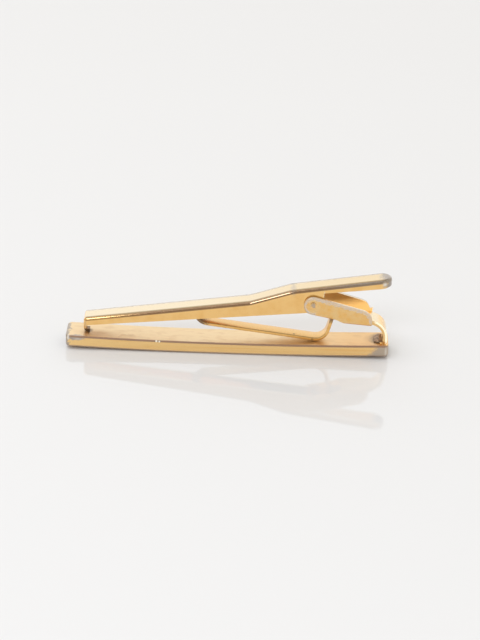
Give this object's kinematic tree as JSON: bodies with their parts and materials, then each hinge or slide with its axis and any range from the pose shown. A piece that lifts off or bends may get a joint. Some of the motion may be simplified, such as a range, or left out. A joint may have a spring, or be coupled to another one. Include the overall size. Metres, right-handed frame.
{
  "type": "sprung tie clip",
  "caption": "Gold-plated tie clip: a bowed bar with a satin back, a soldered hinge bracket and a stepped channel lever that a flat spring presses onto the bar.",
  "frame": {"origin": "middle of the flat land on the bar's front face, which lies on the table", "axes": "+X along the bar towards the hinge, +Y across the bar, +Z from the bar's front face towards the lever"},
  "size_m": [0.0575, 0.006, 0.0149],
  "materials": {
    "bar_gold": "gold plate, satin on the back and polished on the edges, worn grey at the end corners",
    "bracket_gold": "polished gold plate, worn grey along the rims of the ears",
    "lever_gold": "bright polished gold plate, worn grey on the thumb end",
    "spring_gold": "rolled spring strip with thin gold plate",
    "rivet_metal": "peened and polished flush, plate worn through",
    "solder": "dull grey-brown solder"
  },
  "bodies": {
    "bar": {"front_bar": "bar_gold", "hinge_bracket": "bracket_gold", "bracket_solder": "solder", "pivot_rivet": "rivet_metal"},
    "lever": {"clip_lever": "lever_gold", "leaf_spring": "spring_gold", "spring_solder": "solder"}
  },
  "joints": [
    {"name": "lever_pivot", "type": "hinge", "parent": "bar", "child": "lever", "pos_m": [0.01504, 0, 0.01015], "axis": [0, 1, 0], "range_deg": [0, 30], "stiffness_Nm_per_rad": 0.06, "springref_deg": -11.46, "deforming": ["leaf_spring"]}
  ]
}
